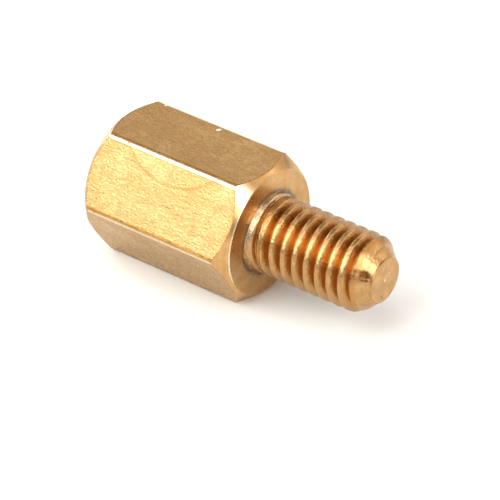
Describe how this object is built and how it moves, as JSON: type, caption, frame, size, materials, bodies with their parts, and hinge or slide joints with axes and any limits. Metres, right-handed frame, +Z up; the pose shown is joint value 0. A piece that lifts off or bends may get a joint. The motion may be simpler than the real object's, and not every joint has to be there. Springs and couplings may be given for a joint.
{
  "type": "hex standoff",
  "caption": "Short hexagonal brass spacer with a threaded stud on one end and a threaded blind hole in the other, for stacking boards.",
  "frame": {"origin": "on the axis, in the plane of the shoulder that the stud stands from", "axes": "+X along the axis out of the stud, +Z up, square to the flat it lies on, +Y through two corners of the hexagon"},
  "size_m": [0.0116, 0.0058, 0.005],
  "materials": {
    "brass": "bright drawn and turned brass, lightly tarnished"
  },
  "bodies": {
    "root": {"standoff": "brass"}
  },
  "joints": []
}
